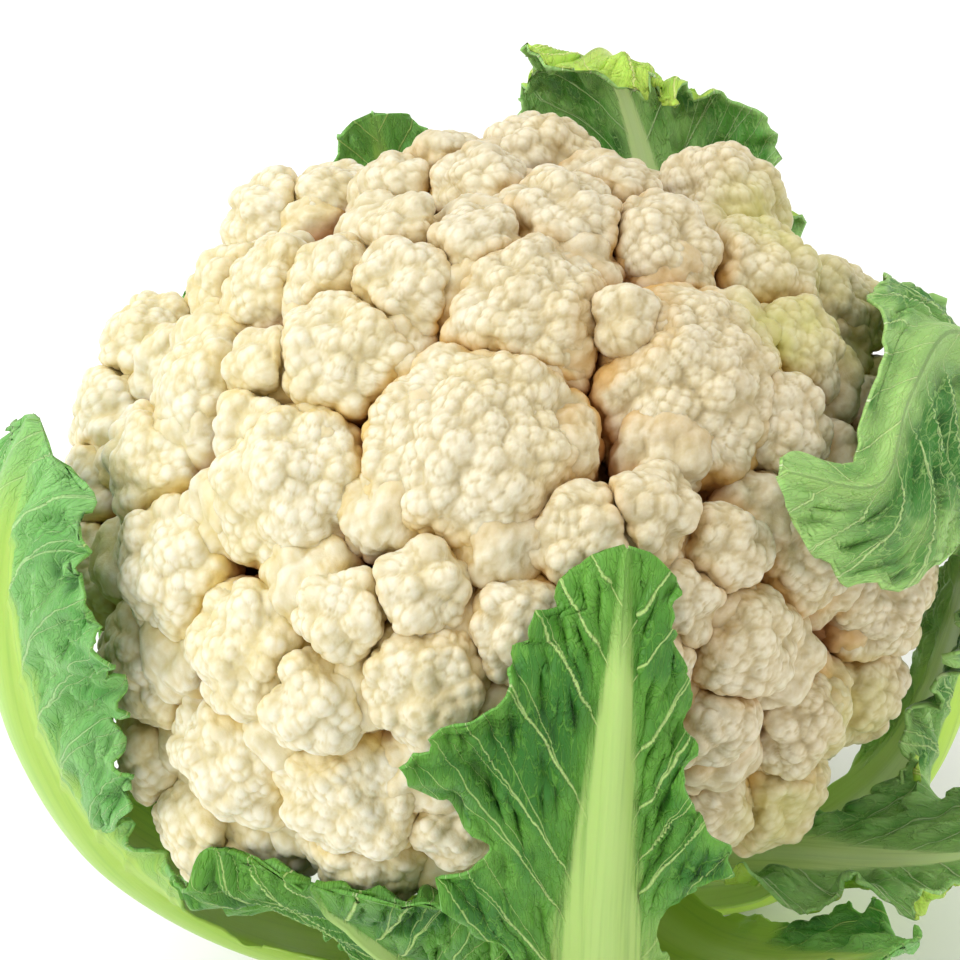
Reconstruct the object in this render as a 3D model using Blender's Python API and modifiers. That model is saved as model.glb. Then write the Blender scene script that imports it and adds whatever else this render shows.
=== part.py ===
"""A whole cauliflower standing on its cut stump: curd, stalk with its branches, and ten trimmed leaves.

Metres, +Z up. The origin is the centre of the stump's cut face, and -Y is the side with the front leaf.
Bearings are degrees anticlockwise from +X, seen from above.
"""
import math
import random

import bmesh
import bpy
import numpy as np
from mathutils import Vector

MM = 0.001
GOLDEN_ANGLE = math.pi * (3 - math.sqrt(5))

# Curd: a dome of florets round a centre on the stalk's axis
CURD_CENTRE = np.array([0, 0, 114 * MM])
CURD_ACROSS = 89 * MM
CURD_RISE = 78 * MM
CORE_SHARE = 0.74
CORE_DROP = 46 * MM
CURD_SPHERE_LEVEL = 7
CURD_TRIANGLES_KEPT = 0.092

# Florets that face the front: bearing, degrees down from the apex, radius in mm, mm proud of the dome
FRONT_FLORETS = [
    (-92, 42, 21, 2), (-131, 47, 16, 1), (-62, 23, 16, 1), (-42, 47, 20, 2), (-132, 26, 13, 1),
    (-116, 14, 10, 1), (-155, 5, 7, 1), (-161, 16, 8, 0), (175, 25, 10, 0), (162, 34, 8, 0), (-148, 32, 6, 1),
    (-167, 41, 10, 0), (-143, 40, 6, -1), (116, 35, 11, 0), (128, 40, 10, 4), (103, 16, 6, 0), (83, 19, 6, 1),
    (57, 13, 9, 0), (60, 37, 12, 3), (-63, 9, 9, 0), (-4, 18, 12, 1), (16, 27, 7, 0), (25, 50, 14, 7),
    (-8, 32, 11, 0), (-2, 49, 12, 2), (-18, 56, 10, 0), (-48, 33, 6, 0), (-36, 60, 10, -1), (8, 68, 11, 3),
    (0, 84, 11, 0), (156, 55, 11, 4), (165, 64, 11, 3), (174, 72, 9, 2), (-165, 55, 12, 0),
    (-150, 65, 13, 1), (-178, 82, 11, 1), (-157, 86, 12, 0), (-158, 103, 9, 4), (-148, 113, 13, 9),
    (-140, 113, 10, 2), (-137, 93, 13, 2), (-130, 72, 13, 2), (-115, 63, 8, 1), (-120, 76, 9, 2),
    (-104, 73, 13, 1), (-103, 60, 8, 0), (-118, 94, 15, 1), (-120, 110, 13, 1), (-104, 99, 8, -1),
    (-90, 68, 10, 0), (-95, 80, 8, -3), (-77, 58, 10, 0), (-68, 58, 8, 1), (-59, 67, 8, 0), (-68, 71, 8, 0),
    (-74, 75, 10, -1), (-82, 87, 13, 0), (-86, 108, 12, 0), (-68, 92, 8, 0), (-68, 116, 11, 0),
    (-45, 76, 11, 0), (-61, 81, 11, 1), (-30, 92, 16, 4), (-52, 104, 10, 1), (-36, 112, 10, 3),
    (-56, 118, 11, 4),
]
REST_CANDIDATES = 150
REST_RADIUS = (12 * MM, 18 * MM)
REST_PROUD = (-1 * MM, 2 * MM)
REST_SPACING = 0.88
LOWEST_FLORET = 118
FILLERS = 130
FILLER_RADIUS = 10 * MM
FILLER_DEPTH = 8 * MM
FLORET_HEART = 0.90
LOBE_RADIUS = (2.2 * MM, 0.28)
LOBE_COUNT = 2.0
LOBE_REACH = 0.67
LOBE_SPREAD = 1.5
LOBE_VARIETY = (0.86, 1.14)
LOBE_SEED = 11

# Stalk: radius and height down its outline, then the branches that carry the florets
STALK_OUTLINE = [(17, 88), (24, 74), (23, 58), (21, 42), (22, 26), (24, 12), (24, 1.2), (22.8, 0)]
STALK_SIDES = 28
BRANCHES = 10
BRANCH_FOOT = (10 * MM, 38 * MM)
BRANCH_HEAD = (56 * MM, 82 * MM)
BRANCH_RADII = (10 * MM, 17 * MM)
BRANCH_SIDES = 9
FITTING_GAP = 0.35 * MM

# Leaves: a thin blade with a thick midrib on its outer face
BLADE_THICKNESS = 0.9 * MM
CURD_TO_LEAF = 3.0 * MM
RIB_COLUMNS = (0.55, 1.0)
BLADE_COLUMNS = (0.36, 0.70, 1.0)
RIB_ROUNDING = (1.0, 0.78, 0.16)
RIB_NARROWING = 1.5
RIB_THINNING = 1.3
LEAST_BLADE = 0.9 * MM
FULL_RUFFLE = 12 * MM
NOTCHED_FROM = 1.15
LOOK_ASIDE = 0.045

# rows: how many across the length. spine: mm out from the axis, mm up, mm sideways.
# blade: share of the length, half width each side in mm.
# rib: half width and thickness in mm at the foot and at the tip. wrap: radius in mm that the blade curls to.
# waves: height in mm, number along the edge, phase in degrees. notches: share of the width, number.
LEAVES = [
    dict(name="leaf_front", bearing=-90, rows=17,
         spine=[(14, 12, 0), (40, 9, 1), (70, 24, 2), (93, 60, 4), (100, 98, 8), (93, 132, 14),
                (80, 158, 21)],
         blade=[(0, 15, 15), (0.45, 14, 14), (0.56, 16, 15), (0.66, 27, 18), (0.74, 28, 21), (0.81, 40, 20),
                (0.85, 27, 16), (0.93, 10, 14), (1, 3, 4)],
         rib=(14, 9, 2.0, 1.5), wrap=150, waves=(4.0, 4, 20), notches=(0.10, 7)),
    dict(name="leaf_front_low", bearing=-124, rows=13,
         spine=[(14, 24, 0), (40, 26, 0), (60, 44, 0), (76, 65, 0), (88, 84, 0)],
         blade=[(0, 9, 9), (0.30, 10, 10), (0.55, 22, 20), (0.80, 34, 30), (1, 26, 24)],
         rib=(9, 7, 2.0, 1.5), wrap=80, waves=(3.0, 3, 0), notches=(0.14, 5)),
    dict(name="leaf_left", bearing=-168, rows=17,
         spine=[(14, 12, 0), (40, 13, 0), (71, 35, 0), (94, 66, 0), (103, 100, 0), (102, 130, 0),
                (95, 154, 0), (84, 171, 0)],
         blade=[(0, 14, 14), (0.28, 12, 12), (0.42, 24, 16), (0.58, 30, 36), (0.76, 26, 38), (0.90, 20, 26),
                (1, 10, 12)],
         rib=(13, 9, 4.0, 3.0), wrap=44, waves=(3.0, 4, 200), notches=(0.10, 6)),
    dict(name="leaf_left_far", bearing=158, rows=13,
         spine=[(14, 24, 0), (42, 24, 0), (68, 40, 0), (85, 66, 0), (92, 92, 0), (92, 110, 0)],
         blade=[(0, 10, 10), (0.28, 10, 10), (0.45, 20, 18), (0.65, 26, 24), (0.85, 20, 18), (1, 7, 8)],
         rib=(10, 8, 2.0, 1.5), wrap=70, waves=(4.0, 4, 90), notches=(0.10, 6)),
    dict(name="leaf_left_back", bearing=127, rows=15,
         spine=[(14, 12, 0), (42, 11, 0), (72, 30, 0), (91, 64, 0), (98, 100, 0), (95, 128, 0), (90, 143, 0)],
         blade=[(0, 13, 13), (0.28, 12, 12), (0.45, 22, 20), (0.65, 26, 24), (0.85, 18, 18), (1, 4, 4)],
         rib=(12, 8, 2.0, 1.5), wrap=80, waves=(4.0, 4, 150), notches=(0.10, 6)),
    dict(name="leaf_back_left", bearing=95, rows=17,
         spine=[(14, 24, 0), (42, 25, 0), (72, 44, 0), (93, 80, 0), (100, 118, 0), (99, 146, 0),
                (95, 163, 0)],
         blade=[(0, 12, 12), (0.28, 12, 12), (0.45, 20, 20), (0.65, 24, 24), (0.85, 15, 15), (1, 8, 8)],
         rib=(12, 9, 2.5, 2.0), wrap=70, waves=(3.0, 4, 150), notches=(0.10, 7)),
    dict(name="leaf_back", bearing=61, rows=17,
         spine=[(14, 12, 0), (42, 12, 0), (74, 32, 0), (95, 72, 0), (105, 116, 2), (106, 146, 6),
                (99, 167, 10), (82, 174, 12)],
         blade=[(0, 13, 13), (0.25, 12, 12), (0.42, 26, 28), (0.62, 34, 30), (0.74, 46, 26), (0.84, 48, 22),
                (0.92, 36, 18), (1, 16, 10)],
         rib=(12, 9, 2.5, 2.0), wrap=90, waves=(4.0, 4, 60), notches=(0.08, 8)),
    dict(name="leaf_right", bearing=-8, rows=21,
         spine=[(14, 12, 0), (42, 12, 0), (73, 30, 0), (94, 62, 0), (102, 98, 6), (100, 124, 14),
                (92, 142, 2), (83, 146, -25), (76, 142, -45), (60, 156, -57)],
         blade=[(0, 12, 11), (0.20, 13, 12), (0.32, 27, 24), (0.43, 28, 28), (0.54, 30, 26), (0.63, 30, 24),
                (0.70, 42, 16), (0.76, 54, 9), (0.80, 57, 8), (0.84, 44, 7), (0.88, 30, 6), (0.92, 17, 6),
                (1, 7, 5)],
         rib=(11.5, 9, 2.5, 2.0), wrap=80, waves=(3.0, 5, 30), notches=(0.12, 8)),
    dict(name="leaf_right_front", bearing=-42, rows=13,
         spine=[(14, 36, 0), (40, 38, 0), (60, 44, 0), (80, 49, 1), (98, 56, 1), (112, 64, 1)],
         blade=[(0, 10, 10), (0.28, 10, 10), (0.45, 14, 12), (0.68, 18, 20), (0.88, 16, 20), (1, 7, 7)],
         rib=(10, 8, 2.0, 1.5), wrap=40, waves=(4.0, 4, 0), notches=(0.12, 6)),
    dict(name="leaf_right_low", bearing=-62, rows=13,
         spine=[(14, 24, 0), (42, 24, 0), (66, 33, 1), (88, 46, 4), (106, 58, 7)],
         blade=[(0, 10, 10), (0.30, 10, 10), (0.50, 12, 12), (0.72, 14, 16), (0.90, 10, 14), (1, 6, 8)],
         rib=(10, 8, 2.0, 1.5), wrap=40, waves=(3.0, 3, 120), notches=(0.12, 5)),
]


def clear_scene():
    for obj in list(bpy.data.objects):
        bpy.data.objects.remove(obj)


def new_collection(name):
    collection = bpy.data.collections.new(name)
    bpy.context.scene.collection.children.link(collection)
    return collection


def new_material(name, colour, roughness):
    material = bpy.data.materials.new(name)
    material.use_nodes = True
    shader = material.node_tree.nodes["Principled BSDF"]
    shader.inputs["Base Color"].default_value = (*colour, 1)
    shader.inputs["Roughness"].default_value = roughness
    shader.inputs["Metallic"].default_value = 0.0
    material.diffuse_color = (*colour, 1)
    return material


def object_from(bm, name, collection, material=None):
    mesh = bpy.data.meshes.new(name)
    bm.to_mesh(mesh)
    bm.free()
    obj = bpy.data.objects.new(name, mesh)
    collection.objects.link(obj)
    if material:
        mesh.materials.append(material)
    mesh.shade_smooth()
    return obj


def unit(vectors):
    return vectors / np.linalg.norm(vectors, axis=-1, keepdims=True)


def dome_point(bearing, down):
    """The point of the florets' dome at a bearing and an angle down from the apex, from the curd's centre."""
    around, below = math.radians(bearing), math.radians(down)
    return np.array([
        CURD_ACROSS * math.sin(below) * math.cos(around),
        CURD_ACROSS * math.sin(below) * math.sin(around),
        CURD_RISE * math.cos(below),
    ])


def floret_at(bearing, down, radius, proud):
    """A floret as (centre, radius), its top that far proud of the dome."""
    top = dome_point(bearing, down)
    reach = np.linalg.norm(top)
    return top * ((reach - radius + proud) / reach), radius


def even_bearings(count, lowest):
    """Bearings and angles down, spread evenly over the dome by the golden angle."""
    for k in range(count):
        cosine = 1 - (1 - math.cos(math.radians(lowest))) * (k + 0.5) / count
        yield math.degrees(k * GOLDEN_ANGLE) % 360, math.degrees(math.acos(cosine))


def all_florets():
    """The front florets, then others of mixed sizes wherever there is still room for one."""
    florets = [floret_at(b, d, r * MM, p * MM) for b, d, r, p in FRONT_FLORETS]
    draw = random.Random(LOBE_SEED)
    for bearing, down in even_bearings(REST_CANDIDATES, LOWEST_FLORET):
        centre, radius = floret_at(bearing, down, draw.uniform(*REST_RADIUS), draw.uniform(*REST_PROUD))
        if all(np.linalg.norm(centre - c) > REST_SPACING * (radius + r) for c, r in florets):
            florets.append((centre, radius))
    return florets


def lobes_of(floret, draw):
    """The round lobes that a floret is clustered from, as (centre, radius)."""
    centre, radius = floret
    axis = Vector(centre).normalized()
    turn = Vector((0, 0, 1)).rotation_difference(axis)
    start = draw.uniform(0, math.tau)
    usual = LOBE_RADIUS[0] + LOBE_RADIUS[1] * radius
    count = round(LOBE_COUNT * (radius / usual) ** 2)
    lobes = []
    for k in range(count):
        down = math.acos(1 - (k + 0.5) / count * (1 - math.cos(LOBE_SPREAD)))
        around = start + k * GOLDEN_ANGLE
        way = Vector((math.sin(down) * math.cos(around), math.sin(down) * math.sin(around), math.cos(down)))
        size = usual * draw.uniform(*LOBE_VARIETY)
        lobes.append((centre + np.array(turn @ way) * radius * LOBE_REACH, size))
    return lobes


def curd_spheres():
    """Every sphere whose outer envelope is the curd's surface: lobes, and small florets deep in the gaps."""
    draw = random.Random(LOBE_SEED)
    spheres = []
    for floret in all_florets():
        spheres += [(floret[0], floret[1] * FLORET_HEART)] + lobes_of(floret, draw)
    for bearing, down in even_bearings(FILLERS, LOWEST_FLORET + 4):
        spheres.append(floret_at(bearing, down, FILLER_RADIUS, -FILLER_DEPTH))
    return np.array([c for c, _ in spheres]), np.array([r for _, r in spheres])


def curd_reach(ways, spheres):
    """How far the curd reaches from its centre in each direction: the furthest sphere, or else the core."""
    centres, radii = spheres
    height = np.where(ways[:, 2] > 0, CURD_RISE * CORE_SHARE, CORE_DROP)
    across = np.hypot(ways[:, 0], ways[:, 1]) / (CURD_ACROSS * CORE_SHARE)
    reach = 1 / np.hypot(across, ways[:, 2] / height)
    offsets = (centres**2).sum(axis=1) - radii**2
    for start in range(0, len(ways), 4096):
        block = slice(start, start + 4096)
        along = ways[block] @ centres.T
        inside = along**2 - offsets
        furthest = np.where(inside > 0, along + np.sqrt(np.maximum(inside, 0)), 0).max(axis=1)
        reach[block] = np.maximum(reach[block], furthest)
    return reach


def build_curd(spheres, collection, material):
    bm = bmesh.new()
    bmesh.ops.create_icosphere(bm, subdivisions=CURD_SPHERE_LEVEL, radius=1.0)
    ways = unit(np.array([v.co for v in bm.verts]))
    points = ways * curd_reach(ways, spheres)[:, None] + CURD_CENTRE
    for vert, point in zip(bm.verts, points):
        vert.co = point
    curd = object_from(bm, "curd", collection, material)
    thin = curd.modifiers.new("fewer_faces", "DECIMATE")
    thin.ratio = CURD_TRIANGLES_KEPT
    return curd


def screw(name, outline, grow, collection):
    """A turned solid from (radius, height) points in mm, top to bottom, its radii grown by grow."""
    bm = bmesh.new()
    rows = [(0.0, outline[0][1] * MM + grow)]
    rows += [(r * MM + grow, h * MM + (grow if k == 0 else 0)) for k, (r, h) in enumerate(outline)]
    rows.append((0.0, outline[-1][1] * MM))
    verts = [bm.verts.new((r, 0, h)) for r, h in rows]
    for first, second in zip(verts, verts[1:]):
        bm.edges.new((first, second))
    obj = object_from(bm, name, collection)
    turn = obj.modifiers.new("turn", "SCREW")
    turn.steps = turn.render_steps = STALK_SIDES
    turn.use_merge_vertices = True
    turn.merge_threshold = 0.00005
    turn.use_smooth_shade = True
    return obj


def branch(index, grow, collection):
    """One thick branch from the stalk up and out to the curd's underside."""
    around = math.tau * (index + 0.5) / BRANCHES
    foot = Vector((BRANCH_FOOT[0] * math.cos(around), BRANCH_FOOT[0] * math.sin(around), BRANCH_FOOT[1]))
    head = Vector((BRANCH_HEAD[0] * math.cos(around), BRANCH_HEAD[0] * math.sin(around), BRANCH_HEAD[1]))
    bm = bmesh.new()
    length = (head - foot).length
    bmesh.ops.create_cone(bm, cap_ends=True, segments=BRANCH_SIDES, radius1=BRANCH_RADII[0] + grow,
                          radius2=BRANCH_RADII[1] + grow, depth=length)
    obj = object_from(bm, f"branch_{index}", collection)
    obj.rotation_mode = "QUATERNION"
    obj.rotation_quaternion = Vector((0, 0, 1)).rotation_difference(head - foot)
    obj.location = (foot + head) / 2
    return obj


def boolean(obj, other, operation, solver="MANIFOLD"):
    cut = obj.modifiers.new(operation.lower(), "BOOLEAN")
    cut.operation = operation
    cut.solver = solver
    if isinstance(other, bpy.types.Collection):
        cut.operand_type = "COLLECTION"
        cut.collection = other
    else:
        cut.object = other
    return cut


def apply_modifiers(obj):
    bpy.context.view_layer.update()
    graph = bpy.context.evaluated_depsgraph_get()
    mesh = bpy.data.meshes.new_from_object(obj.evaluated_get(graph))
    obj.modifiers.clear()
    obj.data = mesh


def build_stalk(name, grow, collection, material):
    """The stump and its branches as one solid; grow makes the larger copy that its neighbours are cut with."""
    stalk = screw(name, STALK_OUTLINE, grow, collection)
    stalk.data.materials.append(material)
    arms = new_collection(f"{name}_branches")
    for k in range(BRANCHES):
        branch(k, grow, arms)
    boolean(stalk, arms, "UNION")
    apply_modifiers(stalk)
    for arm in list(arms.objects):
        bpy.data.objects.remove(arm)
    bpy.data.collections.remove(arms)
    return stalk


def smooth_path(points, shares):
    """Points at even shares of the length of a Catmull-Rom curve through points."""
    points = np.array(points, float)
    padded = np.vstack([2 * points[0] - points[1], points, 2 * points[-1] - points[-2]])
    fine = []
    for p0, p1, p2, p3 in zip(padded, padded[1:], padded[2:], padded[3:]):
        for t in np.linspace(0, 1, 12, endpoint=False):
            fine.append(0.5 * (2 * p1 + (p2 - p0) * t + (2 * p0 - 5 * p1 + 4 * p2 - p3) * t**2
                               + (3 * p1 - p0 - 3 * p2 + p3) * t**3))
    fine = np.array(fine + [points[-1]])
    lengths = np.concatenate([[0], np.cumsum(np.linalg.norm(np.diff(fine, axis=0), axis=1))])
    wanted = np.array(shares) * lengths[-1]
    return np.stack([np.interp(wanted, lengths, fine[:, k]) for k in range(3)], axis=1)


def carried(across, along):
    """The direction across a leaf, carried up its spine without twisting."""
    rows = []
    for way in along:
        across = unit(across - (across @ way) * way)
        rows.append(across)
    return np.array(rows)


def leaf_columns():
    """(side, kind, place) across a leaf, with places as shares of the rib's half width or of the blade beyond."""
    half = [("rib", p) for p in RIB_COLUMNS] + [("blade", p) for p in BLADE_COLUMNS]
    return [(-1, *c) for c in reversed(half)] + [(1, "rib", 0.0)] + [(1, *c) for c in half]


def leaf_sheet(leaf, spheres):
    """Points of the leaf's inner face as rows by columns, and the thickness at each."""
    shares = np.linspace(0, 1, leaf["rows"])
    spine = smooth_path(leaf["spine"], shares) * MM
    around = math.radians(leaf["bearing"])
    out = np.array([math.cos(around), math.sin(around), 0])
    side = np.array([-math.sin(around), math.cos(around), 0])
    path = spine[:, :1] * out + spine[:, 2:] * side + spine[:, 1:2] * np.array([0, 0, 1])
    along = unit(np.gradient(path, axis=0))
    across = carried(side, along)
    outward = np.cross(across, along)

    table = np.array(leaf["blade"], float)
    foot_half, foot_thick, tip_half, tip_thick = np.array(leaf["rib"]) * MM
    height, count, phase = leaf["waves"]
    notch, notch_count = leaf["notches"]
    columns = leaf_columns()
    points = np.zeros((len(shares), len(columns), 3))
    thickness = np.zeros(points.shape[:2])
    for i, share in enumerate(shares):
        rib_half = foot_half + (tip_half - foot_half) * share**RIB_NARROWING
        rib_thick = foot_thick + (tip_thick - foot_thick) * share**RIB_THINNING
        for j, (hand, kind, place) in enumerate(columns):
            full = np.interp(share, table[:, 0], table[:, 1 if hand < 0 else 2]) * MM
            wave = math.sin(math.tau * count * share + math.radians(phase) + hand)
            if full > NOTCHED_FROM * rib_half:
                full *= 1 + notch * math.sin(math.tau * notch_count * share + 2 * hand)
            beyond = max(full - rib_half, LEAST_BLADE)
            if kind == "rib":
                away, ruffle = place * rib_half, 0.0
                rounding = RIB_ROUNDING[(0.0, *RIB_COLUMNS).index(place)]
                thickness[i, j] = max(rib_thick * rounding, BLADE_THICKNESS)
            else:
                away = rib_half + place * beyond
                ruffle = height * MM * wave * place**2 * min(1, beyond / FULL_RUFFLE)
                thickness[i, j] = BLADE_THICKNESS
            angle = away / (leaf["wrap"] * MM)
            points[i, j] = (path[i] + across[i] * hand * math.sin(angle) * leaf["wrap"] * MM
                            + outward[i] * (ruffle - (1 - math.cos(angle)) * leaf["wrap"] * MM))
    return keep_off_curd(points, spheres), thickness


def keep_off_curd(points, spheres):
    """Leaf points that would sink into the curd are moved out to lie just off it."""
    flat = points.reshape(-1, 3) - CURD_CENTRE
    distance = np.linalg.norm(flat, axis=1)
    ways = flat / distance[:, None]
    aside = [np.zeros(3)] + [LOOK_ASIDE * sign * axis for axis in np.eye(3) for sign in (1, -1)]
    least = np.max([curd_reach(unit(ways + step), spheres) for step in aside], axis=0) + CURD_TO_LEAF
    above = flat[:, 2] > -CORE_DROP
    distance = np.where(above & (distance < least), least, distance)
    return (ways * distance[:, None] + CURD_CENTRE).reshape(points.shape)


def build_leaf(leaf, spheres, cutter, collection, material):
    points, thickness = leaf_sheet(leaf, spheres)
    rows, columns = thickness.shape
    bm = bmesh.new()
    bmesh.ops.create_grid(bm, x_segments=columns - 1, y_segments=rows - 1, size=1)
    layer = bm.verts.layers.deform.verify()
    order = sorted(bm.verts, key=lambda v: (round(v.co.y, 4), round(v.co.x, 4)))
    thickest = float(thickness.max())
    for vert, point, thick in zip(order, points.reshape(-1, 3), thickness.ravel()):
        vert.co = point
        vert[layer][0] = thick / thickest
    bmesh.ops.triangulate(bm, faces=bm.faces[:], quad_method="FIXED")
    obj = object_from(bm, leaf["name"], collection, material)
    obj.vertex_groups.new(name="thickness")
    shell = obj.modifiers.new("thickness", "SOLIDIFY")
    shell.thickness = thickest
    shell.offset = 1
    shell.vertex_group = "thickness"
    boolean(obj, cutter, "DIFFERENCE")
    return obj


def build():
    clear_scene()
    plant = new_collection("cauliflower")
    cutters = new_collection("cutters")
    ivory = new_material("curd_ivory", (0.86, 0.78, 0.58), 0.62)
    pale = new_material("stalk_pale_green", (0.66, 0.74, 0.42), 0.50)
    green = new_material("leaf_green", (0.16, 0.42, 0.09), 0.45)
    spheres = curd_spheres()
    build_stalk("stalk", 0.0, plant, pale)
    cutter = build_stalk("stalk_space", FITTING_GAP, cutters, pale)
    cutter.hide_render = True
    cutter.display_type = "WIRE"
    curd = build_curd(spheres, plant, ivory)
    boolean(curd, cutter, "DIFFERENCE")
    for leaf in LEAVES:
        build_leaf(leaf, spheres, cutter, plant, green)


build()
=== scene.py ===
import math
import random

import bpy
import numpy as np
from mathutils import Matrix, Vector


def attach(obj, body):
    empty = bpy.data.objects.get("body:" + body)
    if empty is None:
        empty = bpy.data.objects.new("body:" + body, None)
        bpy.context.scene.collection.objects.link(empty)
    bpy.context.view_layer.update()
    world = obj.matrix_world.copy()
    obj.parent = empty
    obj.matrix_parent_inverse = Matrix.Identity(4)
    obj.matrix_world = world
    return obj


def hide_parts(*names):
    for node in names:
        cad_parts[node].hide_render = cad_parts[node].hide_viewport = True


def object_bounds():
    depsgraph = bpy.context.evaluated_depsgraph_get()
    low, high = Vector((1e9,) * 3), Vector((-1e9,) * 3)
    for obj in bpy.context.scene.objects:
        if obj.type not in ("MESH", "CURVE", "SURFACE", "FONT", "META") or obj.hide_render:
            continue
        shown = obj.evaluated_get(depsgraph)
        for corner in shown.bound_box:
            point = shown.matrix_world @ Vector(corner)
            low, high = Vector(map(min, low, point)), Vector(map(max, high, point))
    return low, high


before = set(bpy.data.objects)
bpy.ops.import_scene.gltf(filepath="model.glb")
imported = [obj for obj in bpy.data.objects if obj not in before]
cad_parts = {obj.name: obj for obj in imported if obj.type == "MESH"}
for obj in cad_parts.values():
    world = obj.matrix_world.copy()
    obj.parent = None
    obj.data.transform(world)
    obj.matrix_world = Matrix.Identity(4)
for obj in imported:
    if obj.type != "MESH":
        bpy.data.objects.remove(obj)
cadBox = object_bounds()  # the CAD model's box: nothing reaches beyond it
boxCorners = np.array([list(corner) for corner in cadBox])
print("frame loaded")

mm = 0.001
goldenAngle = math.pi * (3 - math.sqrt(5))
scene = bpy.context.scene


# small helpers

def deselectAll():
    bpy.ops.object.select_all(action="DESELECT")


def unit(vectors):
    return vectors / np.linalg.norm(vectors, axis=-1, keepdims=True)


def ease(value, low, high):  # 0 at low, 1 at high, smooth between, and the other way round if low is the larger
    share = np.clip((value - low) / (high - low), 0, 1)
    return share * share * (3 - 2 * share)


easedFrom, keptFree = 6 * mm, 2.2 * mm  # how near the box's sides a leaf starts to flatten, and how near it gets


def softClip(points, low, high):  # eased in so that all stays a little inside a box, but not at its floor
    room, rest = easedFrom, keptFree
    over = np.maximum(points - (high - room), 0)
    points = np.where(over > 0, high - room + (room - rest) * (1 - np.exp(-over / (room - rest))), points)
    under = np.maximum(low[:2] + room - points[:, :2], 0)
    eased = low[:2] + room - (room - rest) * (1 - np.exp(-under / (room - rest)))
    points[:, :2] = np.where(under > 0, eased, points[:, :2])
    return points


def readPoints(mesh, what="vertices", field="co"):
    flat = np.empty(len(mesh.vertices) * 3)
    getattr(mesh, what).foreach_get(field, flat)
    return flat.reshape(-1, 3)


def readNormals(mesh):
    return readPoints(mesh, "vertex_normals", "vector")


def writePoints(mesh, points):
    mesh.vertices.foreach_set("co", points.ravel())
    mesh.update()


def writeAttribute(mesh, name, values):
    layer = mesh.attributes.get(name) or mesh.attributes.new(name, "FLOAT", "POINT")
    layer.data.foreach_set("value", np.asarray(values, np.float32))


def applyAll(piece):
    deselectAll()
    piece.select_set(True)
    bpy.context.view_layer.objects.active = piece
    for modifier in list(piece.modifiers):
        bpy.ops.object.modifier_apply(modifier=modifier.name)


def joined(pieces, name):
    deselectAll()
    for piece in pieces:
        piece.select_set(True)
    bpy.context.view_layer.objects.active = pieces[0]
    if len(pieces) > 1:
        bpy.ops.object.join()
    whole = bpy.context.view_layer.objects.active
    whole.name = whole.data.name = name
    return whole


def scattered(cell, seed):  # four steady numbers from 0 to 1 for every whole-numbered cell
    mixed = cell[:, 0] * 73856093 ^ cell[:, 1] * 19349663 ^ cell[:, 2] * 83492791 ^ (seed * 2654435761)
    numbers = []
    for _ in range(4):
        mixed = (mixed ^ (mixed >> 15)) * 2246822519 & 0xFFFFFFFF
        mixed = (mixed ^ (mixed >> 13)) * 3266489917 & 0xFFFFFFFF
        mixed = mixed ^ (mixed >> 16)
        numbers.append(mixed / 4294967296)
    return np.stack(numbers, axis=1)


def pebbles(points, size, seed, spread=0.9, vary=0.4):  # round knobs side by side: (height, distance from a seam)
    place = points / size
    cell = np.floor(place).astype(np.int64)
    best = np.full(len(points), -9.0)
    second = best.copy()
    for x in (-1, 0, 1):
        for y in (-1, 0, 1):
            for z in (-1, 0, 1):
                other = cell + (x, y, z)
                draw = scattered(other, seed)
                middle = other + 0.5 + (draw[:, :3] - 0.5) * spread
                value = vary * draw[:, 3] - ((place - middle) ** 2).sum(axis=1)
                second = np.maximum(second, np.minimum(best, value))
                best = np.maximum(best, value)
    return np.sqrt(np.maximum(best + 0.32, 0.01)), best - second


# node helpers

def put(tree, kind, inputs=None, **settings):
    node = tree.nodes.new(kind)
    for key, value in settings.items():
        setattr(node, key, value)
    for key, value in (inputs or {}).items():
        if isinstance(value, bpy.types.NodeSocket):
            tree.links.new(value, node.inputs[key])
        else:
            node.inputs[key].default_value = value
    return node


def attribute(tree, name):
    return put(tree, "ShaderNodeAttribute", attribute_name=name).outputs["Fac"]


def maths(tree, operation, first, second=0.0):
    node = put(tree, "ShaderNodeMath", {0: first, 1: second}, operation=operation)
    return node.outputs[0]


def ownPlace(tree):
    return put(tree, "ShaderNodeTexCoord").outputs["Object"]


def times(tree, first, second):
    return maths(tree, "MULTIPLY", first, second)


def opposite(tree, value):  # 1 less the value
    return maths(tree, "SUBTRACT", 1.0, value)


def strongest(tree, first, second):
    return maths(tree, "MAXIMUM", first, second)


def fade(tree, value, low, high, start=0.0, end=1.0):
    inputs = {"Value": value, "From Min": low, "From Max": high, "To Min": start, "To Max": end}
    return put(tree, "ShaderNodeMapRange", inputs, interpolation_type="SMOOTHSTEP").outputs["Result"]


def mix(tree, factor, first, second, blend="MIX"):
    node = put(tree, "ShaderNodeMix", data_type="RGBA", blend_type=blend)
    for slot, value in (("Factor", factor), ("A", first), ("B", second)):
        kind = "VALUE" if slot == "Factor" else "RGBA"
        socket = next(s for s in node.inputs if s.name == slot and s.type == kind)
        if isinstance(value, bpy.types.NodeSocket):
            tree.links.new(value, socket)
        else:
            socket.default_value = (*value, 1) if slot != "Factor" else value
    return next(s for s in node.outputs if s.type == "RGBA")


def layer(tree, colour, factor, share, over):
    return mix(tree, times(tree, factor, share), colour, over)


def noise(tree, place, scale, detail=3.0, roughness=0.55):
    inputs = {"Vector": place, "Scale": scale, "Detail": detail, "Roughness": roughness}
    return put(tree, "ShaderNodeTexNoise", inputs).outputs["Fac"]


def cells(tree, place, scale, feature="DISTANCE_TO_EDGE"):
    node = put(tree, "ShaderNodeTexVoronoi", {"Vector": place, "Scale": scale}, feature=feature)
    return node.outputs["Distance"]


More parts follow.
